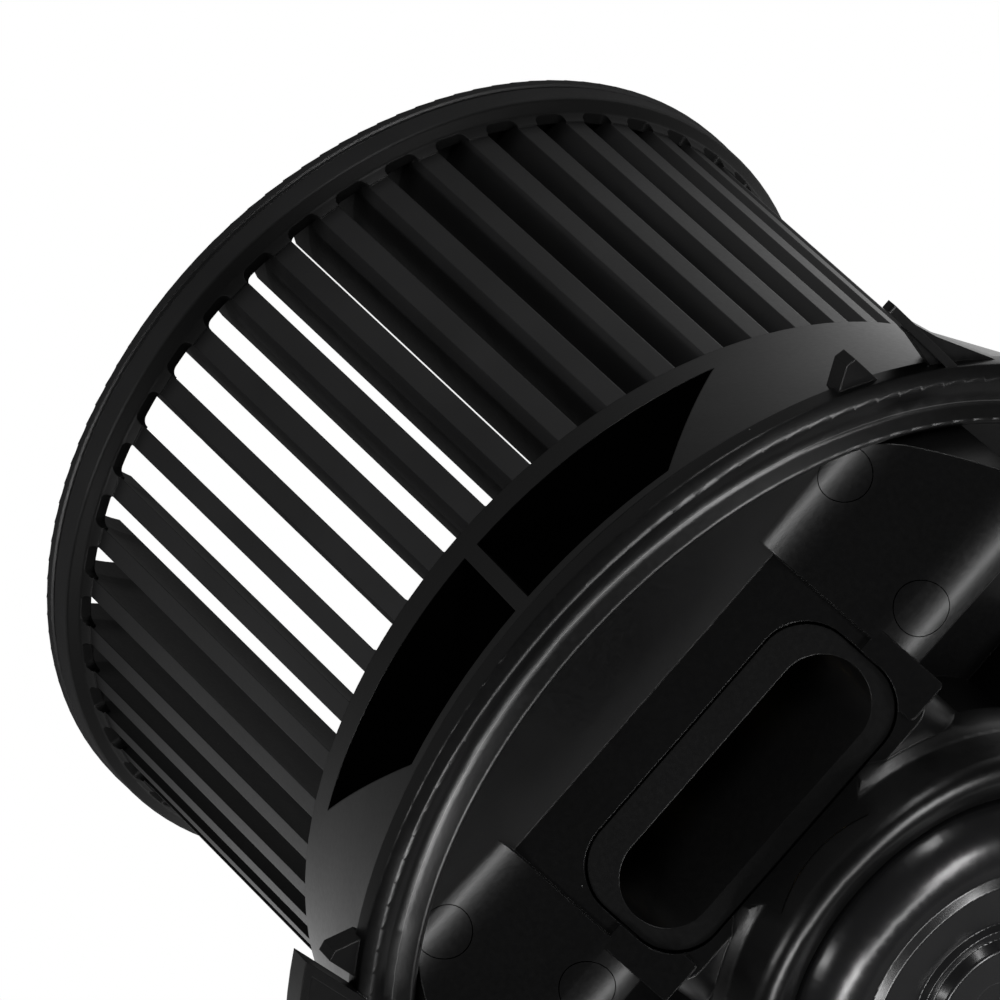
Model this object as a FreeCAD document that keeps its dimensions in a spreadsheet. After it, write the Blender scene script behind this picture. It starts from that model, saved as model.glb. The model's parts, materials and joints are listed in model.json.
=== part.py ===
import FreeCAD, Part
import math
import operator
import os
import Sketcher

# A vehicle cabin blower: a squirrel-cage wheel on a brushed motor, held in a moulded mount.
# Millimetres. Z is the wheel's axis and points to the motor's closed end. The origin is the centre
# of the lugs' bolt circle, on the face that seats on the heater box. X is the mount's plane of
# symmetry and points to the connector socket.

doc = FreeCAD.newDocument("cabin_blower")
sheet = doc.addObject("Spreadsheet::Sheet", "sizes")
OPERATORS = {"+": operator.add, "-": operator.sub, "*": operator.mul, "/": operator.truediv}
parts = []


# ---------------------------------------------------------------- sizes and their formulas

class Size:
    """A number that remembers the spreadsheet formula it comes from."""

    def __init__(self, value, text):
        self.value = value
        self.text = text

    def __add__(self, other):
        return combine(self, "+", other)

    def __sub__(self, other):
        return combine(self, "-", other)

    def __mul__(self, other):
        return combine(self, "*", other)

    def __truediv__(self, other):
        return combine(self, "/", other)

    def __neg__(self):
        return combine(Size(0.0, "0"), "-", self)


def as_size(item):
    return item if isinstance(item, Size) else Size(float(item), "(%r)" % float(item))


def combine(left, sign, right):
    left, right = as_size(left), as_size(right)
    text = "(%s %s %s)" % (left.text, sign, right.text)
    return Size(OPERATORS[sign](left.value, right.value), text)


def size(alias, value):
    """Put a driving dimension in the next row of the sheet."""
    size.row += 1
    sheet.set("A%d" % size.row, alias)
    sheet.set("B%d" % size.row, str(value))
    sheet.setAlias("B%d" % size.row, alias)
    return Size(float(value), "sizes.%s" % alias)


size.row = 0

# the wheel; heights run along Z, down to the open inlet
inlet_z = size("inlet_z", -110)
wheel_rad = size("wheel_rad", 75)
ring_inner_rad = size("ring_inner_rad", 66.8)
ring_tall = size("ring_tall", 7.8)
blade_rad = size("blade_rad", 72)
blade_inner_rad = size("blade_inner_rad", 62.65)
blade_count = size("blade_count", 47)
blade_first_deg = size("blade_first_deg", -12.54)
blade_outer_deg = size("blade_outer_deg", 2.986)
blade_lag_deg = size("blade_lag_deg", 3.97)
blade_inner_deg = size("blade_inner_deg", 1.99)
blade_draft = size("blade_draft", 2371)
slot_wide = size("slot_wide", 5.9)
slot_corner_rad = size("slot_corner_rad", 1.3)
base_low_z = size("base_low_z", -32)
base_top_z = size("base_top_z", -24.2)
base_rad = size("base_rad", 69.55)
wheel_hub_low_z = size("wheel_hub_low_z", -63)
wheel_hub_top_z = size("wheel_hub_top_z", -44)
wheel_hub_rad = size("wheel_hub_rad", 10)

# the motor
shaft_rad = size("shaft_rad", 4)
shaft_low_z = size("shaft_low_z", -67)
shaft_top_z = size("shaft_top_z", 45.4)
running_gap = size("running_gap", 0.03)
can_rad = size("can_rad", 30)
can_wall = size("can_wall", 1.8)
can_low_z = size("can_low_z", -24)
can_shoulder_z = size("can_shoulder_z", 44)
can_boss_z = size("can_boss_z", 48)
bearing_rad = size("bearing_rad", 8)
core_rad = size("core_rad", 21)
core_low_z = size("core_low_z", 0)
core_top_z = size("core_top_z", 30)
slot_count = size("slot_count", 12)
magnet_inner_rad = size("magnet_inner_rad", 22.2)
commutator_rad = size("commutator_rad", 10)
commutator_low_z = size("commutator_low_z", -21)
commutator_top_z = size("commutator_top_z", -10)
card_z = size("card_z", -22)
brush_wide = size("brush_wide", 5)
brush_tall = size("brush_tall", 6)
brush_long = size("brush_long", 8)
brush_z = size("brush_z", -15.5)
lead_rad = size("lead_rad", 1.2)
lead_y = size("lead_y", 10)
lead_start_x = size("lead_start_x", 21)

# the mount
wall = size("wall", 2.4)
skirt_low_z = size("skirt_low_z", -28)
skirt_low_rad = size("skirt_low_rad", 74.6)
skirt_top_rad = size("skirt_top_rad", 83)
rim_rad = size("rim_rad", 84.2)
rim_inner_rad = size("rim_inner_rad", 75)
rim_z = size("rim_z", 6)
floor_z = size("floor_z", 3)
cup_bore_rad = size("cup_bore_rad", 33)
cup_rad = size("cup_rad", 35.4)
cup_low_z = size("cup_low_z", -22)
cup_crest_z = size("cup_crest_z", 39.8)
collar_rad = size("collar_rad", 30.6)
ramp_foot_x = size("ramp_foot_x", 54)
ramp_head_x = size("ramp_head_x", 34.3)
plateau_z = size("plateau_z", 29)
channel_half = size("channel_half", 29.3)
channel_corner_rad = size("channel_corner_rad", 5)
block_half = size("block_half", 62)
ledge_x = size("ledge_x", 41)
ledge_z = size("ledge_z", 21.4)
window_top_z = size("window_top_z", -3)
window_low_z = size("window_low_z", -22.6)
lug_first_deg = size("lug_first_deg", 49)
lug_pcd_rad = size("lug_pcd_rad", 88)
lug_rad = size("lug_rad", 95)
lug_root_rad = size("lug_root_rad", 79.6)
lug_border = size("lug_border", 1.5)
lug_hole_rad = size("lug_hole_rad", 2.75)
lug_thick = size("lug_thick", 3.5)
boss_pcd_rad = size("boss_pcd_rad", 38.6)
screw_rad = size("screw_rad", 1.5)

# the socket: an oval in the sloping face, whose walls run straight down
socket_x = size("socket_x", 41.4)
oval_half_wide = size("oval_half_wide", 7.2)
oval_half_long = size("oval_half_long", 24.6)
socket_low_z = size("socket_low_z", -12)
socket_wall = size("socket_wall", 1.3)

doc.recompute()

slope = math.atan2(plateau_z.value - floor_z.value, ramp_foot_x.value - ramp_head_x.value)
slope_deg = math.degrees(slope)


# ---------------------------------------------------------------- helpers

def set_size(target, prop, amount):
    """Set a property, bound to its formula."""
    amount = as_size(amount)
    target.setExpression(prop, amount.text)


def new_body(label):
    body = doc.addObject("PartDesign::Body", label)
    body.Label = label
    return body


def origin_plane(body, role):
    return [item for item in body.Origin.OriginFeatures if item.Role == role][0]


def place_point(sketch, geometry, corner):
    """Hold a point at its two distances from the sketch's origin."""
    for kind, amount, axis in (("DistanceX", corner[0], -2), ("DistanceY", corner[1], -1)):
        amount = as_size(amount)
        if amount.value == 0:
            sketch.addConstraint(Sketcher.Constraint("PointOnObject", geometry, 1, axis))
            continue
        row = sketch.addConstraint(Sketcher.Constraint(kind, -1, 1, geometry, 1, amount.value))
        sketch.setExpression("Constraints[%d]" % row, amount.text)


def corner_arc(before, here, after, radius):
    """The arc that rounds a corner, its two ends, and which end comes first."""
    back = (before - here).normalize()
    ahead = (after - here).normalize()
    half = back.getAngle(ahead) / 2
    start = here + back * (radius / math.tan(half))
    end = here + ahead * (radius / math.tan(half))
    centre = here + (back + ahead).normalize() * (radius / math.sin(half))
    left_turn = back.cross(ahead).z < 0
    first, last = (start, end) if left_turn else (end, start)
    turn = [math.atan2(p.y - centre.y, p.x - centre.x) for p in (first, last)]
    circle = Part.Circle(centre, FreeCAD.Vector(0, 0, 1), radius)
    return Part.ArcOfCircle(circle, turn[0], turn[1]), start, end, left_turn


def outline(body, name, role, corners, shift=None, tilt=0.0):
    """A closed sketch through the corners (x, y) or, where one is rounded, (x, y, radius)."""
    sketch = body.newObject("Sketcher::SketchObject", name)
    sketch.AttachmentSupport = (origin_plane(body, role), "")
    sketch.MapMode = "FlatFace"
    if shift:
        turn = FreeCAD.Rotation(FreeCAD.Vector(0, 1, 0), tilt)
        sketch.AttachmentOffset = FreeCAD.Placement(FreeCAD.Vector(0, 0, 0), turn)
        for axis, amount in zip("xyz", shift):
            set_size(sketch, "AttachmentOffset.Base.%s" % axis, amount)
    spots = [FreeCAD.Vector(as_size(c[0]).value, as_size(c[1]).value, 0) for c in corners]
    count = len(corners)
    arcs = {}
    for i, corner in enumerate(corners):
        if len(corner) == 3:
            radius = as_size(corner[2]).value
            arcs[i] = corner_arc(spots[i - 1], spots[i], spots[(i + 1) % count], radius)
    for i in range(count):
        after = (i + 1) % count
        start = arcs[i][2] if i in arcs else spots[i]
        end = arcs[after][1] if after in arcs else spots[after]
        sketch.addGeometry(Part.LineSegment(start, end))
    for i in range(count):
        before = (i - 1) % count
        if i not in arcs:
            sketch.addConstraint(Sketcher.Constraint("Coincident", before, 2, i, 1))
            place_point(sketch, i, corners[i])
            continue
        arc = sketch.addGeometry(arcs[i][0])
        first, last = (1, 2) if arcs[i][3] else (2, 1)
        sketch.addConstraint(Sketcher.Constraint("Tangent", before, 2, arc, first))
        sketch.addConstraint(Sketcher.Constraint("Tangent", arc, last, i, 1))
        row = sketch.addConstraint(Sketcher.Constraint("Radius", arc, as_size(corners[i][2]).value))
        sketch.setExpression("Constraints[%d]" % row, as_size(corners[i][2]).text)
        tip = sketch.addGeometry(Part.Point(spots[i]), True)
        place_point(sketch, tip, corners[i])
        sketch.addConstraint(Sketcher.Constraint("PointOnObject", tip, 1, before))
        sketch.addConstraint(Sketcher.Constraint("PointOnObject", tip, 1, i))
    return sketch


def add_turned(body, name, corners, sweep=360):
    """Turn a section of (radius, z) corners about Z."""
    sketch = outline(body, name + "_section", "XZ_Plane", corners)
    feature = body.newObject("PartDesign::Revolution", name)
    feature.Profile = sketch
    feature.ReferenceAxis = (sketch, ["V_Axis"])
    feature.Angle = sweep
    feature.Midplane = sweep < 360
    body.Tip = feature
    return feature


def turned(label, corners, sweep=360):
    body = new_body(label)
    add_turned(body, label + "_turned", corners, sweep)
    return body


def add_pad(body, name, role, corners, length, shift=None, tilt=0.0, middle=False, along=None):
    """Extrude a section from one of the body's own planes."""
    sketch = outline(body, name + "_section", role, corners, shift, tilt)
    feature = body.newObject("PartDesign::Pad", name)
    feature.Profile = sketch
    feature.Midplane = middle
    if along:
        feature.UseCustomVector = True
        feature.Direction = FreeCAD.Vector(*along)
        feature.AlongSketchNormal = False
    set_size(feature, "Length", length)
    body.Tip = feature
    return feature


def padded(label, role, corners, length, **options):
    body = new_body(label)
    add_pad(body, label + "_pad", role, corners, length, **options)
    return body


def polar(body, feature, name, count):
    """Repeat a feature about Z."""
    pattern = body.newObject("PartDesign::PolarPattern", name)
    pattern.Originals = [feature]
    pattern.Axis = (origin_plane(body, "Z_Axis"), [""])
    pattern.Angle = 360
    set_size(pattern, "Occurrences", count)
    body.Tip = pattern
    return pattern


def pocket(body, name, corners, length, shift):
    """Cut a section in the XY plane upwards."""
    sketch = outline(body, name + "_section", "XY_Plane", corners, shift)
    feature = body.newObject("PartDesign::Pocket", name)
    feature.Profile = sketch
    feature.Reversed = True
    set_size(feature, "Length", length)
    body.Tip = feature
    return feature


def cylinder(label, radius, low_z, length, x=0, y=0):
    solid = doc.addObject("Part::Cylinder", label)
    set_size(solid, "Radius", radius)
    set_size(solid, "Height", length)
    for axis, amount in (("x", x), ("y", y), ("z", low_z)):
        set_size(solid, "Placement.Base.%s" % axis, amount)
    return solid


def box(label, low, extent):
    solid = doc.addObject("Part::Box", label)
    for prop, amount in zip(("Length", "Width", "Height"), extent):
        set_size(solid, prop, amount)
    for axis, amount in zip("xyz", low):
        set_size(solid, "Placement.Base.%s" % axis, amount)
    return solid


def ring_corners(inner, outer, low, high):
    return [(inner, low), (outer, low), (outer, high), (inner, high)]


def cut(label, base, tool):
    result = doc.addObject("Part::Cut", label)
    result.Base = base
    result.Tool = tool
    return result


def common(label, base, tool):
    result = doc.addObject("Part::Common", label)
    result.Base = base
    result.Tool = tool
    return result


def fused(label, members):
    result = doc.addObject("Part::MultiFuse", label)
    result.Shapes = members
    result.Refine = True
    return result


def group(label, members):
    """Several separate solids of one kind, in one node."""
    result = doc.addObject("Part::Compound", label)
    result.Links = members
    return result


def ruled(label, shape):
    """A solid that Part's own functions make from the sheet's sizes."""
    feature = doc.addObject("Part::Feature", label)
    feature.Shape = shape
    feature.Placement = shape.Placement
    return feature


def keep(part, label):
    """Mark a finished sub-part, to be written under its label."""
    part.Label = label
    parts.append(part)
    return part


def about_axis(solid, degrees):
    """Turn a primitive, with its place, about Z."""
    doc.recompute()
    turn = FreeCAD.Placement(FreeCAD.Vector(0, 0, 0), FreeCAD.Rotation(FreeCAD.Vector(0, 0, 1), degrees))
    holder = doc.addObject("Part::Compound", solid.Name + "_turned")
    holder.Links = [solid]
    holder.Placement = turn
    return holder


# ---------------------------------------------------------------- the wheel

def blade_section(z):
    """One blade's outline: bowed sides between an outer and an inner arc, drawn in with draft."""
    shrink = 1 - (z - inlet_z.value) / blade_draft.value

    def spot(radius, degrees):
        angle = math.radians(blade_first_deg.value + degrees)
        radius = radius * shrink
        return FreeCAD.Vector(radius * math.cos(angle), radius * math.sin(angle), z)

    outer, inner = blade_rad.value, blade_inner_rad.value
    lag, inner_wide = blade_lag_deg.value, blade_inner_deg.value
    outer_wide = blade_outer_deg.value
    middle = (outer + inner) / 2
    bow_deg = [math.degrees(bow / middle) for bow in (0.25, 0.50)]
    outside = Part.Arc(spot(outer, 0), spot(outer, outer_wide / 2), spot(outer, outer_wide))
    inside = Part.Arc(spot(inner, lag + inner_wide), spot(inner, lag + inner_wide / 2), spot(inner, lag))
    trailing_mid = spot(middle, (outer_wide + lag + inner_wide) / 2 + bow_deg[1])
    leading_mid = spot(middle, lag / 2 + bow_deg[0])
    trailing = Part.Arc(spot(outer, outer_wide), trailing_mid, spot(inner, lag + inner_wide))
    leading = Part.Arc(spot(inner, lag), leading_mid, spot(outer, 0))
    edges = [curve.toShape() for curve in (outside, trailing, inside, leading)]
    return Part.Wire(edges)


def about_z(shape, count, first_deg):
    """Copies of a shape, evenly spaced about Z."""
    copies = []
    for i in range(count):
        copies.append(shape.copy())
        copies[-1].rotate(FreeCAD.Vector(0, 0, 0), FreeCAD.Vector(0, 0, 1), first_deg + i * 360.0 / count)
    return Part.makeCompound(copies)


def build_wheel():
    ring_low = inlet_z
    ring_top = inlet_z + ring_tall
    count = int(blade_count.value)
    ring = turned("inlet_ring", [
        (ring_inner_rad, ring_low), (wheel_rad, ring_low, 0.5), (wheel_rad, ring_low + 1.7),
        (wheel_rad - 0.8, ring_low + 2.1), (wheel_rad - 0.25, ring_low + 2.6),
        (wheel_rad - 0.25, ring_top - 1.4, 0.8), (blade_rad + 0.7, ring_top - 0.1, 1.0),
        (blade_rad, ring_top + 1.6), (blade_rad - 1.2, ring_top + 1.6), (blade_rad - 1.2, ring_top - 1.2)])
    back = turned("back_plate", [
        (shaft_rad, wheel_hub_low_z), (wheel_hub_rad - 1, wheel_hub_low_z),
        (wheel_hub_rad + 0.5, wheel_hub_low_z + 5.5), (wheel_hub_rad + 3.5, wheel_hub_low_z + 7.8),
        (59.5, base_low_z + 3.2), (59.5, base_low_z), (base_rad - 1.2, base_low_z),
        (base_rad - 1.2, base_low_z - 1.6), (base_rad, base_low_z - 1.6),
        (base_rad, base_top_z - 2.2, 0.6), (base_rad - 2.5, base_top_z, 0.6), (62.5, base_top_z),
        (wheel_hub_rad + 3, wheel_hub_top_z - 8.6), (wheel_hub_rad, wheel_hub_top_z),
        (shaft_rad, wheel_hub_top_z)])
    half, corner = slot_wide / 2, slot_corner_rad
    slot = padded("slot", "YZ_Plane", [
        (-half, ring_top, corner), (half, ring_top, corner), (half, base_low_z, corner),
        (-half, base_low_z, corner)], 14, shift=(0, 0, 64))
    doc.recompute()
    pitch = 360.0 / count
    slot_deg = blade_first_deg.value + (blade_outer_deg.value + pitch) / 2
    slots = ruled("slots", about_z(slot.Shape, count, slot_deg))
    low, high = inlet_z.value + 0.8, base_low_z.value + 3
    blade = Part.makeLoft([blade_section(low), blade_section(high)], True, True)
    blades = ruled("blades", about_z(blade, count, 0))
    hoops = cut("hoops", fused("plain_hoops", [ring, back]), slots)
    return keep(fused("wheel", [hoops, blades]), "blower_wheel")


# ---------------------------------------------------------------- the motor's rotor

def build_rotor():
    keep(turned("shaft", [
        (0, shaft_low_z), (shaft_rad - 0.5, shaft_low_z), (shaft_rad, shaft_low_z + 0.5),
        (shaft_rad, shaft_top_z - 0.5), (shaft_rad - 0.5, shaft_top_z), (0, shaft_top_z)]), "motor_shaft")
    keep(turned("clip", ring_corners(shaft_rad, shaft_rad * 2, wheel_hub_low_z - 1, wheel_hub_low_z)),
         "wheel_clip")

    core = new_body("core")
    add_turned(core, "core_stack", ring_corners(shaft_rad, core_rad, core_low_z, core_top_z))
    tall = core_top_z - core_low_z
    slot = pocket(core, "core_slot", [
        (9.5, -1.4), (core_rad - 3, -3), (core_rad - 1.6, -1), (core_rad + 1, -1),
        (core_rad + 1, 1), (core_rad - 1.6, 1), (core_rad - 3, 3), (9.5, 1.4)], tall, (0, 0, core_low_z))
    polar(core, slot, "core_slots", slot_count)
    keep(core, "armature_core")

    winding = new_body("winding")
    bundle_low, bundle_high = core_low_z - 7.5, core_low_z - 1
    add_turned(winding, "front_bundle", [
        (7.5, bundle_low, 1), (16, bundle_low, 2), (18.4, bundle_high), (7.5, bundle_high)])
    bar = add_pad(winding, "coil_side", "XY_Plane", [
        (10, -1.1), (core_rad - 3.4, -2.5), (core_rad - 3.4, 2.5), (10, 1.1)],
        tall + 2.4, shift=(0, 0, bundle_high - 0.2))
    polar(winding, bar, "coil_sides", slot_count)
    bundle_low, bundle_high = core_top_z + 1, core_top_z + 7
    add_turned(winding, "rear_bundle", [
        (7.5, bundle_low), (18.4, bundle_low), (16, bundle_high, 2), (7.5, bundle_high, 1)])
    keep(winding, "armature_winding")

    for label, low in (("front_insulator", core_low_z - 0.9), ("rear_insulator", core_top_z)):
        keep(turned(label, ring_corners(shaft_rad, 9.4, low, low + 0.9)), label)

    hub_rad = commutator_rad - 2.5
    keep(turned("hub", ring_corners(shaft_rad, hub_rad, commutator_low_z, commutator_top_z)),
         "commutator_hub")
    bars = new_body("bars")
    add_turned(bars, "bar_ring", [
        (hub_rad, commutator_low_z), (commutator_rad, commutator_low_z),
        (commutator_rad, commutator_top_z - 2), (commutator_rad + 1, commutator_top_z - 2),
        (commutator_rad + 1, commutator_top_z), (hub_rad, commutator_top_z)])
    undercut = pocket(bars, "bar_gap", [
        (hub_rad + 0.6, -0.3), (commutator_rad + 2, -0.3), (commutator_rad + 2, 0.3), (hub_rad + 0.6, 0.3)],
        commutator_top_z - commutator_low_z, (0, 0, commutator_low_z))
    polar(bars, undercut, "bar_gaps", slot_count)
    keep(bars, "commutator_bars")

    keep(turned("front_washer", ring_corners(shaft_rad, 6.5, commutator_low_z - 1.2, commutator_low_z)),
         "front_thrust_washer")
    keep(turned("rear_washer", ring_corners(shaft_rad, 6.5, core_top_z + 7.4, core_top_z + 8.6)),
         "rear_thrust_washer")


# ---------------------------------------------------------------- the motor's case

def build_can():
    inner = can_rad - can_wall
    shoulder, boss = can_shoulder_z, can_boss_z
    keep(turned("can", [
        (inner, can_low_z), (can_rad, can_low_z), (can_rad, shoulder, 7.5), (20.8, shoulder, 0.8),
        (19.4, shoulder + 1, 0.8), (12.4, shoulder + 1, 0.3), (11.75, shoulder + 2, 0.3),
        (10.4, shoulder + 2.1, 0.3), (9.7, boss, 0.8), (3.3, boss, 0.3), (3.0, boss - 0.8), (0, boss - 0.8),
        (0, boss - 2), (bearing_rad + 0.2, boss - 2), (bearing_rad + 0.2, shoulder - 0.2),
        (10.2, shoulder - 0.8), (18.2, shoulder - 0.8), (19.6, shoulder - can_wall),
        (inner, shoulder - can_wall, 5.7)]), "motor_can")

    plate = turned("plate", [
        (bearing_rad + 0.2, can_low_z), (can_rad, can_low_z), (can_rad, can_low_z - 2),
        (bearing_rad + 5, can_low_z - 2, 1), (bearing_rad + 3.5, can_low_z - 9, 1),
        (shaft_rad + 0.6, can_low_z - 9), (shaft_rad + 0.6, can_low_z - 7.8),
        (bearing_rad + 0.2, can_low_z - 7.8)])
    ears, drills = [], []
    for i, degrees in enumerate((60, 180, 300)):
        tab = box("ear_bar_%d" % i, (can_rad - 4, -4, can_low_z - 2), (boss_pcd_rad - can_rad + 4, 8, 2))
        pad = cylinder("ear_pad_%d" % i, 4, can_low_z - 2, 2, x=boss_pcd_rad)
        hole = cylinder("ear_hole_%d" % i, screw_rad + 0.2, can_low_z - 3, 4, x=boss_pcd_rad)
        ears += [about_axis(tab, degrees), about_axis(pad, degrees)]
        drills.append(about_axis(hole, degrees))
    for side in (-1, 1):
        drills.append(cylinder("lead_hole_%d" % (side + 1), lead_rad + 0.8, can_low_z - 3, 4,
                               x=lead_start_x, y=lead_y * side))
    keep(cut("end_plate", fused("eared_plate", [plate] + ears), group("plate_drills", drills)),
         "can_end_plate")

    screws = []
    for i, degrees in enumerate((60, 180, 300)):
        head = cylinder("head_%d" % i, screw_rad + 1.5, can_low_z - 4.2, 2.2, x=boss_pcd_rad)
        shank = cylinder("shank_%d" % i, screw_rad, can_low_z - 2.2, 13, x=boss_pcd_rad)
        slot = box("drive_%d" % i, (boss_pcd_rad - 0.5, -1.6, can_low_z - 5), (1, 3.2, 1.8))
        screws.append(about_axis(cut("screw_%d" % i, fused("blank_%d" % i, [head, shank]), slot), degrees))
    keep(group("screws", screws), "end_plate_screws")

    bore = shaft_rad + running_gap
    keep(turned("front_bush", ring_corners(bore, bearing_rad + 0.2, can_low_z - 7.8, can_low_z - 1.2)),
         "front_bearing")
    keep(turned("front_felt", ring_corners(shaft_rad + 0.8, bearing_rad + 0.2, can_low_z - 1.2, can_low_z)),
         "front_felt_ring")
    keep(turned("front_keeper", ring_corners(shaft_rad + 2.8, 12.5, can_low_z, can_low_z + 0.8)),
         "front_bearing_retainer")
    keep(turned("rear_bush", ring_corners(bore, bearing_rad, boss - 8.6, boss - 2)), "rear_bearing")
    keep(turned("rear_felt", ring_corners(bearing_rad, 10, shoulder - 3.6, shoulder - 0.9)),
         "rear_felt_ring")
    keep(turned("rear_keeper", ring_corners(bearing_rad, 13.5, shoulder - 4.4, shoulder - 3.6)),
         "rear_bearing_retainer")

    magnet = ring_corners(magnet_inner_rad, inner, core_low_z - 5, core_top_z + 5)
    clip = ring_corners(inner - 0.9, inner, core_low_z - 5, core_top_z + 5)
    arcs = (("magnet_left", magnet, 120, 90), ("magnet_right", magnet, 120, -90),
            ("magnet_clip_near", clip, 50, 0), ("magnet_clip_far", clip, 50, 180))
    for label, section, sweep, degrees in arcs:
        piece = turned(label, section, sweep)
        piece.Placement = FreeCAD.Placement(FreeCAD.Vector(0, 0, 0), FreeCAD.Rotation(degrees, 0, 0))
        keep(piece, label)


def build_brush_gear():
    """The card and what stands on it. The brushes slide along Y."""
    inner = can_rad - can_wall
    card = turned("card", ring_corners(12.8, inner, card_z, card_z + 2))
    ways = [cylinder("card_way_%d" % (side + 1), lead_rad + 0.4, card_z - 1, 4,
                     x=lead_start_x, y=lead_y * side) for side in (-1, 1)]
    keep(cut("drilled_card", card, group("card_ways", ways)), "brush_card")

    box_low_z = card_z + 2
    half_wide, half_tall = brush_wide / 2, brush_tall / 2
    near_y, far_y = commutator_rad + 2, commutator_rad + 14
    holders = []
    for name, side in (("left", 1), ("right", -1)):
        low_y = near_y if side > 0 else -far_y
        shell = box("box_%s" % name, (-half_wide - 0.8, low_y, box_low_z),
                    (brush_wide + 1.6, far_y - near_y, brush_z + half_tall + 0.9 - box_low_z))
        way_low_y = near_y - 1 if side > 0 else -far_y + 1
        way = box("way_%s" % name, (-half_wide - 0.05, way_low_y, brush_z - half_tall - 0.05),
                  (brush_wide + 0.1, far_y - near_y, brush_tall + 0.1))
        holders.append(cut("holder_%s" % name, shell, way))
        start_y = commutator_rad + 0.1 if side > 0 else -commutator_rad - 0.1 - brush_long
        keep(box("brush_%s" % name, (-half_wide, start_y, brush_z - half_tall),
                 (brush_wide, brush_long, brush_tall)), "brush_%s" % name)
        spring_low = commutator_rad.value + 0.1 + brush_long.value + 0.35
        spring_long = far_y.value - 1 - 0.35 - spring_low
        keep(ruled("coil_%s" % name, spring_shape(side, spring_low, spring_long)), "brush_spring_%s" % name)
        choke = turned("choke_core_%s" % name, [
            (0, 0), (2.4, 0), (2.4, 0.8), (1.9, 0.8), (1.9, 7), (2.4, 7), (2.4, 7.8), (0, 7.8)])
        set_size(choke, "Placement.Base.x", -17)
        set_size(choke, "Placement.Base.y", lead_y * side)
        set_size(choke, "Placement.Base.z", box_low_z)
        keep(choke, "choke_%s" % name)
    keep(group("holders", holders), "brush_holders")
    keep(box("capacitor_block", (-25, -4, box_low_z), (4, 8, 7)), "capacitor")


def spring_shape(side, low, length):
    """A coil spring of round wire along Y."""
    turns, wire_rad, coil_rad = 4, 0.3, 1.7
    helix = Part.makeHelix(length / turns, length, coil_rad)
    start = FreeCAD.Vector(coil_rad, 0, 0)
    ring = Part.Wire(Part.Circle(start, FreeCAD.Vector(0, 1, 0), wire_rad).toShape())
    coil = Part.Wire(helix.Edges).makePipeShell([ring], True, True)
    coil.rotate(FreeCAD.Vector(0, 0, 0), FreeCAD.Vector(1, 0, 0), -90 * side)
    coil.translate(FreeCAD.Vector(0, low * side, brush_z.value))
    return coil


# ---------------------------------------------------------------- leads, socket and isolators

def lead_shape(side):
    """A lead: down through the end plate, across under the cup, and up to its terminal."""
    low_z, bend = can_low_z.value - 5.5, 3.0
    start_x, end_x = lead_start_x.value, socket_x.value
    y = lead_y.value * side
    points = [(start_x, card_z.value + 5), (start_x, low_z + bend), (start_x + bend, low_z),
              (end_x - bend, low_z), (end_x, low_z + bend), (end_x, socket_low_z.value)]
    spots = [FreeCAD.Vector(x, y, z) for x, z in points]
    diagonal = bend * math.sqrt(0.5)
    first_mid = FreeCAD.Vector(start_x + bend - diagonal, y, low_z + bend - diagonal)
    last_mid = FreeCAD.Vector(end_x - bend + diagonal, y, low_z + bend - diagonal)
    path = Part.Wire([
        Part.LineSegment(spots[0], spots[1]).toShape(), Part.Arc(spots[1], first_mid, spots[2]).toShape(),
        Part.LineSegment(spots[2], spots[3]).toShape(), Part.Arc(spots[3], last_mid, spots[4]).toShape(),
        Part.LineSegment(spots[4], spots[5]).toShape()])
    ring = Part.Wire(Part.Circle(spots[0], FreeCAD.Vector(0, 0, 1), lead_rad.value).toShape())
    return path.makePipeShell([ring], True, True)


# the sloping face's height at the oval's centre
socket_face_z = floor_z.value + (ramp_foot_x.value - socket_x.value) * math.tan(slope)
face_normal = FreeCAD.Vector(math.sin(slope), 0, math.cos(slope))


def oval_prism(label, half_wide, half_long, lift, low_z):
    """A stadium in the sloping plane, run straight down to a level floor."""
    wide, long = half_wide.value, half_long.value
    straight = long - wide
    down = FreeCAD.Vector(0, 0, -1)
    spots = [FreeCAD.Vector(x, y, 0) for x, y in (
        (-wide, -straight), (0, -long), (wide, -straight), (wide, straight), (0, long), (-wide, straight))]
    wire = Part.Wire([
        Part.Arc(spots[0], spots[1], spots[2]).toShape(), Part.LineSegment(spots[2], spots[3]).toShape(),
        Part.Arc(spots[3], spots[4], spots[5]).toShape(), Part.LineSegment(spots[5], spots[0]).toShape()])
    face = Part.Face(wire)
    face.rotate(FreeCAD.Vector(0, 0, 0), FreeCAD.Vector(0, 1, 0), slope_deg)
    face.translate(FreeCAD.Vector(socket_x.value, 0, socket_face_z + lift))
    prism = face.extrude(down * 90)
    keep_box = Part.makeBox(200, 200, 200, FreeCAD.Vector(-100, -100, low_z))
    return ruled(label, prism.common(keep_box))


def slope_plate(label, half_wide_up, half_wide_down, half_long, low, thick, corner):
    """A rounded plate parallel to the sloping face, its underside at a height above that face."""
    return padded(label, "XY_Plane", [
        (-half_wide_up, -half_long, corner), (half_wide_down, -half_long, corner),
        (half_wide_down, half_long, corner), (-half_wide_up, half_long, corner)], thick,
        shift=(socket_x + face_normal.x * low, 0, socket_face_z + face_normal.z * low), tilt=slope_deg)


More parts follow.
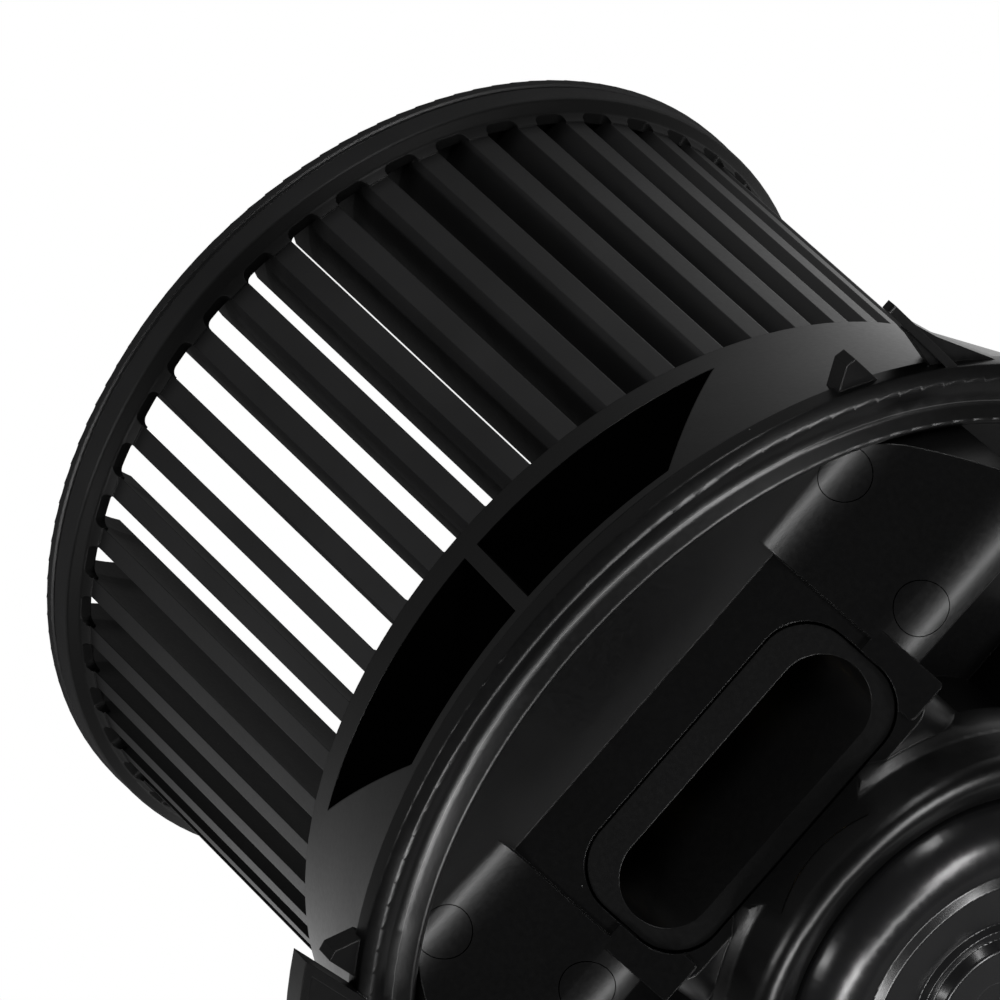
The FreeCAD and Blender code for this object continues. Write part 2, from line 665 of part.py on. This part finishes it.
def build_socket():
    skin = slope_plate("collar", 9.6, 13.0, 26.6, -2.4, 1.8, 8)
    tube = oval_prism("liner", oval_half_wide + socket_wall, oval_half_long + socket_wall,
                      -2, socket_low_z.value)
    cavity = oval_prism("cavity", oval_half_wide, oval_half_long, 8, socket_low_z.value + 2)
    slots = [box("blade_slot_%d" % (side + 1), (socket_x - 0.4, lead_y * side - 3.15, socket_low_z - 1),
                 (0.8, 6.3, 4)) for side in (-1, 1)]
    keep(cut("hollow_socket", cut("socket_shell", fused("socket_blank", [skin, tube]), cavity),
             group("blade_slots", slots)), "socket_insert")
    for name, side in (("left", 1), ("right", -1)):
        keep(box("terminal_%s" % name, (socket_x - 0.4, lead_y * side - 3.15, socket_low_z),
                 (0.8, 6.3, 15)), "terminal_%s" % name)
    keep(group("leads", [ruled("lead_%d" % (side + 1), lead_shape(side)) for side in (-1, 1)]),
         "lead_wires")


def build_isolators():
    keep(turned("front_isolator", ring_corners(can_rad, cup_bore_rad, cup_low_z, cup_low_z + 6)),
         "isolator_ring_front")
    keep(turned("rear_isolator", ring_corners(can_rad, cup_bore_rad, 29, 35)), "isolator_ring_rear")


# ---------------------------------------------------------------- the mount

def build_mount():
    skin = turned("mount_skin", [
        (0, skirt_low_z), (skirt_low_rad, skirt_low_z), (skirt_top_rad, floor_z - 4, 1.5),
        (rim_rad, floor_z - 3), (rim_rad, floor_z - 0.6, 0.5), (rim_rad - 1.8, floor_z + 1, 1.2),
        (rim_rad - 5, floor_z + 0.4, 3), (rim_inner_rad + 0.8, rim_z, 0.8),
        (rim_inner_rad - 0.2, floor_z, 1), (0, floor_z)])
    ramp = padded("ramp_block", "XZ_Plane", [
        (0, 0), (ramp_foot_x, 0), (ramp_foot_x, floor_z), (ramp_head_x, plateau_z), (0, plateau_z)],
        channel_half * 2, middle=True)
    arch = padded("channel_arch", "YZ_Plane", [
        (channel_half * -1, -1), (channel_half, -1), (channel_half, plateau_z, channel_corner_rad),
        (channel_half * -1, plateau_z, channel_corner_rad)], 60, shift=(0, 0, -1))
    channel = common("channel_block", ramp, arch)
    blocks = padded("side_blocks", "XZ_Plane", [
        (0, 0), (ramp_foot_x + 12, 0), (ramp_foot_x + 12, floor_z - 0.2),
        (ramp_foot_x + 0.8, floor_z - 0.2, 12),
        (ledge_x, ledge_z, 12), (35, ledge_z + 1.2, 0.5), (31.5, 12.5, 2), (6, 12.5), (0, 3)],
        block_half * 2, middle=True)
    between = box("between_blocks", (-10, -channel_half, -10), (90, channel_half * 2, 80))
    inside_rim = cylinder("inside_rim", rim_inner_rad, -5, 80)
    side = common("trimmed_blocks", cut("split_blocks", blocks, between), inside_rim)
    cone = turned("cup_cone", [
        (0, 0), (52, 0), (52, floor_z, 3), (44, plateau_z), (0, plateau_z)])
    far_half = box("far_half", (-90, -90, -10), (100, 180, 80))
    far_cone = common("far_cone", cone, far_half)
    cup = turned("cup", [
        (0, cup_low_z), (cup_rad, cup_low_z), (cup_rad, plateau_z - 5), (cup_rad + 3, plateau_z - 3),
        (cup_rad + 3, plateau_z + 0.4), (cup_rad + 2.2, plateau_z + 2, 2), (cup_rad + 2, cup_crest_z, 2.8),
        (32.2, cup_crest_z - 1.2, 0.8), (30.2, cup_crest_z - 1.8), (0, cup_crest_z - 1.8)])
    outer_members = [skin, channel, side, far_cone, cup]
    for name, low_y in (("left", 24), ("right", -31.2)):
        outer_members.append(padded("socket_land_%s" % name, "XY_Plane", [
            (-10.9, low_y, 0.8), (1.8, low_y, 0.8),
            (1.8, low_y + 7.2, 0.8), (-10.9, low_y + 7.2, 0.8)], 3.6,
            shift=(socket_x - face_normal.x * 3, 0, socket_face_z - face_normal.z * 3), tilt=slope_deg))
    for i, degrees in enumerate((120, 150, 180, 210, 240)):
        rib = padded("rib_%d" % i, "XZ_Plane", [
            (40, 1), (rim_inner_rad + 1, 1), (rim_inner_rad + 1, rim_z - 1),
        (46, plateau_z - 6), (40, plateau_z - 4)],
            wall, middle=True)
        rib.Placement = FreeCAD.Placement(FreeCAD.Vector(0, 0, 0), FreeCAD.Rotation(degrees, 0, 0))
        outer_members.append(rib)
    outer_members += build_lugs()
    outer_members += build_screw_bosses()
    outside = fused("mount_outside", outer_members)

    under = floor_z - wall
    hollow_skin = turned("hollow_skin", [
        (0, skirt_low_z - 1), (skirt_low_rad - wall, skirt_low_z - 1), (skirt_low_rad - wall, skirt_low_z),
        (skirt_top_rad - wall, floor_z - 4.2, 2), (rim_inner_rad, under, 2), (0, under)])
    hollow_channel = padded("hollow_channel", "XZ_Plane", [
        (10, -1), (ramp_foot_x - 3, -1), (ramp_foot_x - 3, floor_z), (ramp_head_x - 1.2, plateau_z - wall),
        (10, plateau_z - wall)], (channel_half - wall) * 2, middle=True)
    hollow_blocks = padded("hollow_blocks", "XZ_Plane", [
        (8, -1), (ramp_foot_x - 2.5, -1), (ramp_foot_x - 2.5, 2), (ledge_x - 1.6, ledge_z - 2.6),
        (36.6, ledge_z - 1.8), (33.2, 10, 1), (8, 10)], (block_half - wall) * 2, middle=True)
    between_inner = box("between_hollows",
                        (-10, -channel_half - wall, -10), (90, (channel_half + wall) * 2, 80))
    inside_wall = cylinder("inside_wall", rim_inner_rad - wall, -5, 80)
    hollow_side = common("trimmed_hollows", cut("split_hollows", hollow_blocks, between_inner), inside_wall)
    hollows = fused("hollows", [hollow_skin, hollow_channel, hollow_side])
    ledge = turned("window_ledge",
                   ring_corners(58, skirt_low_rad, window_low_z - 0.6, window_low_z + 0.4), 110)
    spared = fused("spared", [cylinder("cup_body", cup_rad, cup_low_z, 100), ledge]
                   + build_screw_bosses("spared_"))
    shell = cut("mount_shell", outside, cut("carved", hollows, spared))

    bore = cylinder("cup_bore", cup_bore_rad, -40, 75)
    mouth = cylinder("cup_mouth", collar_rad, -40, 100)
    recess = slope_plate("recess", 9.9, 13.3, 26.9, -2.4, 12, 8)
    throat = oval_prism("throat",
                        oval_half_wide + socket_wall + 0.1, oval_half_long + socket_wall + 0.1, 8, 1)
    tools = [bore, mouth, recess, throat] + build_windows() + build_drills()
    return keep(cut("finished_mount", shell, group("mount_cuts", tools)), "motor_mount")


def build_windows():
    """Two openings in the skirt, either side of a narrow strut."""
    low_y, top_y, strut = 44.2, 28.4, 1.35
    windows = []
    for name, side in (("left", 1), ("right", -1)):
        windows.append(padded("window_%s" % name, "YZ_Plane", [
            (strut * side, window_low_z), (low_y * side, window_low_z),
            (top_y * side, window_top_z), (strut * side, window_top_z)], 45, shift=(0, 0, 50)))
    return windows


def lug_degrees():
    return [lug_first_deg.value + 120 * i for i in range(3)]


def flared(label, root, border, low, thick):
    """A plate that widens from the rim to an outer arc; each side lies at the lug's own angle."""
    spread = math.tan(math.radians(lug_first_deg.value))
    far = lug_rad + 5
    half = (far - root) * spread
    wedge = padded("%s_wedge" % label, "XY_Plane", [(root, 0), (far, half * -1), (far, half)], thick,
                   shift=(0, 0, low))
    return common(label, wedge, cylinder("%s_arc" % label, lug_rad - border, low, thick))


def build_lugs():
    """Three tray-shaped ears on the bolt circle, the side gusset and the two small fins."""
    members = []
    for i, degrees in enumerate(lug_degrees()):
        plate = flared("lug_plate_%d" % i, lug_root_rad, 0, 0, lug_thick)
        inset = lug_border / math.sin(math.radians(lug_first_deg.value))
        tray = cut("lug_tray_%d" % i,
                   flared("lug_well_%d" % i, lug_root_rad + inset, lug_border, lug_thick - 0.8, 2),
                   cylinder("lug_rim_%d" % i, rim_rad, 0, 9))
        members.append(about_axis(cut("lug_%d" % i, plate, tray), degrees))
    gusset = padded("gusset_wall", "XZ_Plane", [
        (44, -7), (54, -7), (69.5, 0.6), (69.5, 2.2, 0.6), (44, 2.2)], 1.4, shift=(0, 0, 66.8))
    shelf = padded("gusset_shelf", "XY_Plane", [
        (42, -64), (62, -66.6), (62, -68.2), (56, -69.2), (40, -73.4), (36, -72)], 1.6, shift=(0, 0, -0.6))
    members += [gusset, shelf]
    for name, side in (("left", 1), ("right", -1)):
        members.append(padded("fin_%s" % name, "XY_Plane", [
            (58, 52 * side), (64.8, 53.0 * side), (67.7, 57.0 * side),
            (67.2, 58.6 * side), (58, 58.6 * side)],
            3, shift=(0, 0, -1.6)))
    return members


def build_screw_bosses(prefix=""):
    bosses = []
    for i, degrees in enumerate((60, 180, 300)):
        boss = cylinder("%sboss_%d" % (prefix, i), 3.6, cup_low_z - 2, 28, x=boss_pcd_rad)
        bosses.append(about_axis(boss, degrees))
    return bosses


def build_drills():
    drills = []
    for i, degrees in enumerate(lug_degrees()):
        hole = cylinder("lug_hole_%d" % i, lug_hole_rad, -5, 15, x=lug_pcd_rad)
        drills.append(about_axis(hole, degrees))
    for i, degrees in enumerate((60, 180, 300)):
        pilot = cylinder("boss_hole_%d" % i, screw_rad, cup_low_z - 3, 14, x=boss_pcd_rad)
        drills.append(about_axis(pilot, degrees))
    return drills


# ---------------------------------------------------------------- build, check and write

build_wheel()
build_rotor()
build_can()
build_brush_gear()
build_socket()
build_isolators()
build_mount()
doc.recompute()

for item in doc.Objects:
    if "Invalid" in item.State or "Error" in item.State:
        raise RuntimeError("%s failed: %s" % (item.Label, item.State))

os.makedirs("parts", exist_ok=True)
for part in parts:
    shape = part.Shape
    if shape.isNull() or not shape.isValid() or not shape.Solids:
        raise RuntimeError("%s has no valid solid" % part.Label)
    shape.exportStep("parts/%s.step" % part.Label)
    print("%-24s %9.1f mm3 in %d" % (part.Label, shape.Volume, len(shape.Solids)))
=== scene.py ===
import bmesh
import bpy
import json
import math
from mathutils import Matrix, Vector

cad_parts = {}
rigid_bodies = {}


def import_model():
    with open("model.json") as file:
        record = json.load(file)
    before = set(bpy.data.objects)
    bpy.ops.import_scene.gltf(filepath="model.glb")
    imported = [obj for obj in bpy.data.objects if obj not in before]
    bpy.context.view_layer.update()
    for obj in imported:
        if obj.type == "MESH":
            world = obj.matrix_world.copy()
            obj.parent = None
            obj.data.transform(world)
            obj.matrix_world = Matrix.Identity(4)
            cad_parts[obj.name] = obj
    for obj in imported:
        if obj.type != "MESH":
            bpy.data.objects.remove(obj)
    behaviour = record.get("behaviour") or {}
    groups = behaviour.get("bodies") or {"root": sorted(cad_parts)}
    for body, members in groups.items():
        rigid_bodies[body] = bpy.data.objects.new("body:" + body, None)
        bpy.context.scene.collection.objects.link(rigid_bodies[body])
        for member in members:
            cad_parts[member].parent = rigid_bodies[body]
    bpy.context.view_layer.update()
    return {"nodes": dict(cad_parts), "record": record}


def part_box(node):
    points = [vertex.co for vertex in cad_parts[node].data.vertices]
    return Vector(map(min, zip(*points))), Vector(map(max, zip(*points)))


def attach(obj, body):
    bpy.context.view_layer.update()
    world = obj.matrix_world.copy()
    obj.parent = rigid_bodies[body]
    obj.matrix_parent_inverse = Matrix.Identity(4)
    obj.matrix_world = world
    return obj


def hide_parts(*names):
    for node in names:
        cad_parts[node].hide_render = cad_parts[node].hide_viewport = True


# The starting scene's own cube, lamp and camera go first: the cube would box the part in.
for item in list(bpy.data.objects):
    bpy.data.objects.remove(item)
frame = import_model()

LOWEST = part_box("blower_wheel")[0][2]


# ---------------------------------------------------------------- camera, floor and lights

CAMERA_PLACE = Vector((0.6232, -0.0375, 0.4669))
CAMERA_AZIMUTH = -3.034
CAMERA_ELEVATION = 41.923
CAMERA_ROLL = 133.12
CAMERA_LENS = 178.4


def aimed(place, target, roll=0.0):
    """A matrix at a place that looks at a target, then rolls about the line of sight."""
    turn = (target - place).to_track_quat("-Z", "Y").to_matrix().to_4x4()
    return Matrix.Translation(place) @ turn @ Matrix.Rotation(math.radians(roll), 4, "Z")


def make_camera():
    data = bpy.data.cameras.new("camera")
    data.lens = CAMERA_LENS
    data.sensor_width = 36.0
    data.clip_end = 20.0
    camera = bpy.data.objects.new("camera", data)
    azimuth, elevation = math.radians(CAMERA_AZIMUTH), math.radians(CAMERA_ELEVATION)
    back = Vector((math.cos(azimuth) * math.cos(elevation), math.sin(azimuth) * math.cos(elevation),
                   math.sin(elevation)))
    camera.matrix_world = aimed(CAMERA_PLACE, CAMERA_PLACE - back, CAMERA_ROLL)
    bpy.context.scene.collection.objects.link(camera)
    bpy.context.scene.camera = camera


def math_node(tree, operation, first, second=None, third=None):
    """A math node whose inputs are links or plain numbers; returns its output."""
    node = tree.nodes.new("ShaderNodeMath")
    node.operation = operation
    for socket, value in zip(node.inputs, (first, second, third)):
        if isinstance(value, bpy.types.NodeSocket):
            tree.links.new(value, socket)
        elif value is not None:
            socket.default_value = value
    return node.outputs[0]


def vector_node(tree, operation, first, second=(0, 0, 0)):
    """A vector math node whose inputs are links or plain vectors."""
    node = tree.nodes.new("ShaderNodeVectorMath")
    node.operation = operation
    for socket, value in zip(node.inputs, (first, second)):
        if isinstance(value, bpy.types.NodeSocket):
            tree.links.new(value, socket)
        else:
            socket.default_value = value
    return node


def graded(tree, value, low, high, at_low, at_high, kind="LINEAR"):
    """Maps a value from one range to another, held at its ends."""
    node = tree.nodes.new("ShaderNodeMapRange")
    node.interpolation_type = kind
    node.inputs["From Min"].default_value = low
    node.inputs["From Max"].default_value = high
    node.inputs["To Min"].default_value = at_low
    node.inputs["To Max"].default_value = at_high
    tree.links.new(value, node.inputs["Value"])
    return node.outputs["Result"]


FLOOR_SIZE = 6.0
FLOOR_GAP = 0.0005
FLOOR_FAR = 0.85
FLOOR_NEAR = 0.10
FLOOR_UNDER = 0.08
FADE_X = (-0.05, 0.10)
FADE_RADIUS = (0.078, 0.13)


def split_by_ray(tree, cast, seen):
    """One shader for what the camera sees directly, another for what is cast and reflected."""
    mix = tree.nodes.new("ShaderNodeMixShader")
    path = tree.nodes.new("ShaderNodeLightPath")
    tree.links.new(path.outputs["Is Camera Ray"], mix.inputs["Fac"])
    tree.links.new(cast.outputs[0], mix.inputs[1])
    tree.links.new(seen.outputs[0], mix.inputs[2])
    return mix


def make_floor():
    """A white floor, clear from below. It casts more on the object from behind than from underneath."""
    bpy.ops.mesh.primitive_plane_add(size=FLOOR_SIZE, location=(0, 0, LOWEST - FLOOR_GAP))
    floor = bpy.context.object
    floor.name = "floor"
    paint = bpy.data.materials.new("floor")
    paint.use_nodes = True
    tree = paint.node_tree
    tree.nodes.clear()
    out = tree.nodes.new("ShaderNodeOutputMaterial")
    seen = tree.nodes.new("ShaderNodeEmission")
    seen.inputs["Strength"].default_value = 1.0
    cast = tree.nodes.new("ShaderNodeEmission")
    place = tree.nodes.new("ShaderNodeTexCoord")
    parts = tree.nodes.new("ShaderNodeSeparateXYZ")
    tree.links.new(place.outputs["Object"], parts.inputs[0])
    reach = vector_node(tree, "LENGTH", place.outputs["Object"])
    along = graded(tree, parts.outputs["X"], *FADE_X, FLOOR_FAR, FLOOR_NEAR)
    outside = graded(tree, reach.outputs["Value"], *FADE_RADIUS, 0.0, 1.0, "SMOOTHSTEP")
    tree.links.new(math_node(tree, "MULTIPLY_ADD", along, outside, FLOOR_UNDER), cast.inputs["Strength"])
    mix = split_by_ray(tree, cast, seen)
    side = tree.nodes.new("ShaderNodeNewGeometry")
    clear = tree.nodes.new("ShaderNodeBsdfTransparent")
    one_sided = tree.nodes.new("ShaderNodeMixShader")
    tree.links.new(side.outputs["Backfacing"], one_sided.inputs["Fac"])
    tree.links.new(mix.outputs[0], one_sided.inputs[1])
    tree.links.new(clear.outputs[0], one_sided.inputs[2])
    tree.links.new(one_sided.outputs[0], out.inputs["Surface"])
    floor.data.materials.append(paint)


DOME_PALE_WAY = (-0.6, 0.0, -0.8)
DOME_SPREAD = (-0.1, 0.8)
DOME_DARK = 0.035
DOME_PALE = 0.8


def make_world():
    """White all round for what is seen directly, and a soft pale-to-dark dome for reflections."""
    world = bpy.data.worlds.new("studio")
    bpy.context.scene.world = world
    world.use_nodes = True
    tree = world.node_tree
    tree.nodes.clear()
    out = tree.nodes.new("ShaderNodeOutputWorld")
    seen = tree.nodes.new("ShaderNodeBackground")
    seen.inputs["Color"].default_value = (1, 1, 1, 1)
    dome = tree.nodes.new("ShaderNodeBackground")
    dome.inputs["Strength"].default_value = 1.0
    place = tree.nodes.new("ShaderNodeTexCoord")
    towards = vector_node(tree, "DOT_PRODUCT", place.outputs["Generated"], DOME_PALE_WAY)
    shade = graded(tree, towards.outputs["Value"], *DOME_SPREAD, DOME_DARK, DOME_PALE)
    tree.links.new(shade, dome.inputs["Color"])
    tree.links.new(split_by_ray(tree, dome, seen).outputs[0], out.inputs["Surface"])


LIGHT_TARGET = Vector((0.02, 0, 0.0))


def make_light(name, direction, distance, wide, tall, power):
    """A softbox in a direction from the mount's seat, between the socket and the axis, facing it."""
    data = bpy.data.lights.new(name, "AREA")
    data.shape = "RECTANGLE"
    data.size = wide
    data.size_y = tall
    data.energy = power
    light = bpy.data.objects.new(name, data)
    light.matrix_world = aimed(LIGHT_TARGET + Vector(direction).normalized() * distance, LIGHT_TARGET)
    bpy.context.scene.collection.objects.link(light)


def make_lights():
    make_light("top_right", (-0.04, -0.36, 0.93), 1.2, 0.25, 0.35, 5.0)
    make_light("top_left", (-0.04, 0.44, 0.90), 1.2, 0.25, 0.35, 5.0)
    make_light("ridge", (-0.14, 0.02, 0.99), 1.2, 0.9, 0.14, 4.5)
    make_light("side_right", (0.72, -0.68, 0.18), 1.3, 0.15, 0.5, 3.0)
    make_light("side_left", (0.72, 0.68, 0.15), 1.3, 0.15, 0.5, 3.0)


# ---------------------------------------------------------------- materials

DUST_SCALE = 95.0
DUST_COLOUR = (0.16, 0.16, 0.16, 1)
GRAIN_HEIGHT = 0.0003


def finish(slot, colour, rough, metal=0.0, grain=900.0, depth=0.04, vary=0.25, coat=0.0, cloud=40.0,
           edge=0.0, specks=0.0):
    """A procedural finish: clouded colour, clouded roughness, a fine bump, softened edges and dust."""
    paint = bpy.data.materials.new(slot)
    paint.use_nodes = True
    tree = paint.node_tree
    shader = tree.nodes["Principled BSDF"]
    shader.inputs["Metallic"].default_value = metal
    shader.inputs["Coat Weight"].default_value = coat
    place = tree.nodes.new("ShaderNodeTexCoord")
    place.name = "place"
    clouds = tree.nodes.new("ShaderNodeTexNoise")
    clouds.inputs["Scale"].default_value = cloud
    clouds.inputs["Detail"].default_value = 6.0
    grains = tree.nodes.new("ShaderNodeTexNoise")
    grains.inputs["Scale"].default_value = grain
    grains.inputs["Detail"].default_value = 3.0
    tones = tree.nodes.new("ShaderNodeValToRGB")
    dark = [c * (1 - vary) for c in colour]
    light = [c * (1 + vary) for c in colour]
    tones.color_ramp.elements[0].position = 0.3
    tones.color_ramp.elements[0].color = (*dark, 1)
    tones.color_ramp.elements[1].position = 0.7
    tones.color_ramp.elements[1].color = (*light, 1)
    bump = tree.nodes.new("ShaderNodeBump")
    bump.inputs["Strength"].default_value = depth
    bump.inputs["Distance"].default_value = GRAIN_HEIGHT
    for texture in (clouds, grains):
        tree.links.new(place.outputs["Object"], texture.inputs["Vector"])
    tree.links.new(clouds.outputs["Fac"], tones.inputs["Fac"])
    tree.links.new(tones.outputs["Color"], shader.inputs["Base Color"])
    roughs = graded(tree, grains.outputs["Fac"], 0.0, 1.0, rough * 0.85, rough * 1.2)
    tree.links.new(roughs, shader.inputs["Roughness"])
    tree.links.new(grains.outputs["Fac"], bump.inputs["Height"])
    tree.links.new(bump.outputs["Normal"], shader.inputs["Normal"])
    if edge:
        soft = tree.nodes.new("ShaderNodeBevel")
        soft.samples = 4
        soft.inputs["Radius"].default_value = edge
        tree.links.new(soft.outputs["Normal"], bump.inputs["Normal"])
    if specks:
        dust = tree.nodes.new("ShaderNodeTexVoronoi")
        dust.inputs["Scale"].default_value = DUST_SCALE
        tree.links.new(place.outputs["Object"], dust.inputs["Vector"])
        spot = math_node(tree, "LESS_THAN", dust.outputs["Distance"], specks)
        lay_over(tree, spot, DUST_COLOUR)
    return paint


def lay_over(tree, mask, colour):
    """Mixes a colour over the base colour where the mask is 1."""
    shader = tree.nodes["Principled BSDF"]
    under = shader.inputs["Base Color"].links[0].from_socket
    mix = tree.nodes.new("ShaderNodeMix")
    mix.data_type = "RGBA"
    mix.inputs["B"].default_value = colour
    tree.links.new(mask, mix.inputs["Factor"])
    tree.links.new(under, mix.inputs["A"])
    tree.links.new(mix.outputs["Result"], shader.inputs["Base Color"])


def near(tree, value, at, half):
    """1 where a value lies within half of a given one."""
    gap = math_node(tree, "ABSOLUTE", math_node(tree, "SUBTRACT", value, at))
    return math_node(tree, "LESS_THAN", gap, half)


PIN_RADIUS = 0.00425
PIN_LINE_HALF = 0.00007
PIN_REACH = 0.006
PIN_MARKS = ((0.0546, 0.045, 0.003), (0.0546, -0.045, 0.003),
             (0.041, 0.0375, 0.021), (0.041, -0.0375, 0.021))
PIN_LEAN = (0.45, 0.0, 0.893)
PARTING_RADIUS = 0.0788
PARTING_HALF = 0.00006
PARTING_ABOVE = 0.001
MOUNT_SHEEN = 0.42


def mark_mount(paint):
    """The moulding marks: the ejector pins' rings on the ridges, and the parting line along the rim."""
    tree = paint.node_tree
    shader = tree.nodes["Principled BSDF"]
    spot = tree.nodes["place"].outputs["Object"]
    ring = None
    for centre in PIN_MARKS:
        offset = vector_node(tree, "SUBTRACT", spot, centre).outputs[0]
        across = vector_node(tree, "CROSS_PRODUCT", offset, PIN_LEAN)
        from_pin_line = vector_node(tree, "LENGTH", across.outputs[0]).outputs["Value"]
        from_centre = vector_node(tree, "LENGTH", offset).outputs["Value"]
        close = math_node(tree, "LESS_THAN", from_centre, PIN_REACH)
        line = math_node(tree, "MULTIPLY", near(tree, from_pin_line, PIN_RADIUS, PIN_LINE_HALF), close)
        ring = line if ring is None else math_node(tree, "MAXIMUM", ring, line)
    lay_over(tree, ring, (0.0, 0.0, 0.0, 1))
    sheen = math_node(tree, "MULTIPLY_ADD", ring, -MOUNT_SHEEN, MOUNT_SHEEN)
    tree.links.new(sheen, shader.inputs["Specular IOR Level"])
    parts = tree.nodes.new("ShaderNodeSeparateXYZ")
    tree.links.new(spot, parts.inputs[0])
    flat = vector_node(tree, "MULTIPLY", spot, (1, 1, 0))
    reach = vector_node(tree, "LENGTH", flat.outputs[0]).outputs["Value"]
    above = math_node(tree, "GREATER_THAN", parts.outputs["Z"], PARTING_ABOVE)
    parting = math_node(tree, "MULTIPLY", near(tree, reach, PARTING_RADIUS, PARTING_HALF), above)
    lay_over(tree, parting, (0.05, 0.05, 0.05, 1))


# Painted shade on the wheel: the heights where the dark band fades in and out, its colour, and how much it
# dulls the specular.
PAINTED_SHADE_IN = (-0.1041, -0.1034)
PAINTED_SHADE_OUT = (-0.1020, -0.0975)
PAINTED_SHADE_COLOUR = (0.008, 0.008, 0.008, 1)
WHEEL_SHEEN = 0.5
PAINTED_SHADE_DULLING = 0.3


def paint_shade_on_wheel(paint):
    """Painted shade: a dark band painted where the blades run in under the ring's lip, fading along the blades,
    with the specular dulled there too.
    """
    tree = paint.node_tree
    parts = tree.nodes.new("ShaderNodeSeparateXYZ")
    tree.links.new(tree.nodes["place"].outputs["Object"], parts.inputs[0])
    below = graded(tree, parts.outputs["Z"], *PAINTED_SHADE_IN, 0.0, 1.0, "SMOOTHSTEP")
    above = graded(tree, parts.outputs["Z"], *PAINTED_SHADE_OUT, 1.0, 0.0, "SMOOTHSTEP")
    # Mask of the painted shade band under the ring's lip.
    dark = math_node(tree, "MULTIPLY", below, above)
    lay_over(tree, dark, PAINTED_SHADE_COLOUR)
    sheen = math_node(tree, "MULTIPLY_ADD", dark, -PAINTED_SHADE_DULLING, WHEEL_SHEEN)
    tree.links.new(sheen, tree.nodes["Principled BSDF"].inputs["Specular IOR Level"])


# ---------------------------------------------------------------- pieces

WELD_DISTANCE = 2e-6
SHARP_DEG = 32
SMOOTHED = ("blower_wheel", "motor_mount", "motor_can", "socket_insert")


def skin(node, paints):
    """A node's own mesh, welded and smoothly shaded, shown in the node's place."""
    source = frame["nodes"][node].data
    work = bmesh.new()
    work.from_mesh(source)
    bmesh.ops.remove_doubles(work, verts=work.verts, dist=WELD_DISTANCE)
    spots = [tuple(v.co) for v in work.verts]
    faces = [[v.index for v in face.verts] for face in work.faces]
    work.free()
    mesh = bpy.data.meshes.new(node + "_skin")
    mesh.from_pydata(spots, [], faces)
    mesh.polygons.foreach_set("use_smooth", [True] * len(mesh.polygons))
    mesh.set_sharp_from_angle(angle=math.radians(SHARP_DEG))
    piece = bpy.data.objects.new(node + "_skin", mesh)
    bpy.context.scene.collection.objects.link(piece)
    evened = piece.modifiers.new("evened", "WEIGHTED_NORMAL")
    evened.keep_sharp = True
    body = [name for name, nodes in frame["record"]["behaviour"]["bodies"].items() if node in nodes][0]
    row = [row for row in frame["record"]["subparts"] if row["node"] == node][0]
    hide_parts(node)
    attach(piece, body)
    mesh.materials.append(paints[row["material_slot"]])


def make_materials():
    return {
        "wheel_plastic": finish("wheel_plastic", (0.024, 0.024, 0.0246), 0.40, grain=1400, depth=0.05,
                                edge=0.0003, specks=0.012),
        "mount_plastic": finish("mount_plastic", (0.0022, 0.0022, 0.0023), 0.30, grain=1200, depth=0.04,
                                edge=0.0003, specks=0.012),
        "socket_plastic": finish("socket_plastic", (0.0025, 0.0025, 0.0026), 0.35, grain=1500, depth=0.04,
                                 edge=0.0002),
        "can_finish": finish("can_finish", (0.010, 0.010, 0.0105), 0.24, grain=700, depth=0.01),
        "terminal_metal": finish("terminal_metal", (0.60, 0.44, 0.20), 0.30, metal=1.0),
        "lead_cover": finish("lead_cover", (0.02, 0.02, 0.02), 0.45),
        "rubber": finish("rubber", (0.015, 0.015, 0.015), 0.7, grain=2000, depth=0.1),
        "plated_steel": finish("plated_steel", (0.55, 0.55, 0.53), 0.35, metal=1.0),
        "sintered_bronze": finish("sintered_bronze", (0.36, 0.25, 0.13), 0.5, metal=1.0, grain=4000, depth=0.3),
        "felt": finish("felt", (0.42, 0.37, 0.28), 0.95, grain=3000, depth=0.6),
        "spring_steel": finish("spring_steel", (0.40, 0.41, 0.43), 0.3, metal=1.0),
        "ferrite": finish("ferrite", (0.05, 0.05, 0.055), 0.55, metal=0.3, grain=3000, depth=0.15),
        "card_plastic": finish("card_plastic", (0.035, 0.028, 0.02), 0.5),
        "capacitor_case": finish("capacitor_case", (0.05, 0.16, 0.34), 0.25, coat=0.3),
        "ground_steel": finish("ground_steel", (0.58, 0.58, 0.59), 0.22, metal=1.0),
        "core_steel": finish("core_steel", (0.18, 0.18, 0.19), 0.4, metal=1.0),
        "copper": finish("copper", (0.62, 0.25, 0.11), 0.3, metal=1.0),
        "insulator": finish("insulator", (0.50, 0.44, 0.30), 0.75),
        "carbon": finish("carbon", (0.03, 0.03, 0.03), 0.6, metal=0.2, grain=3000, depth=0.2),
    }


def dress_nodes(paints):
    slots = {row["node"]: row["material_slot"] for row in frame["record"]["subparts"]}
    for name, node in frame["nodes"].items():
        node.data.materials.clear()
        node.data.materials.append(paints[slots[name]])


bpy.context.scene.view_settings.view_transform = "Standard"
make_camera()
make_floor()
make_world()
make_lights()
paints = make_materials()
mark_mount(paints["mount_plastic"])
paint_shade_on_wheel(paints["wheel_plastic"])
dress_nodes(paints)
for node in SMOOTHED:
    skin(node, paints)
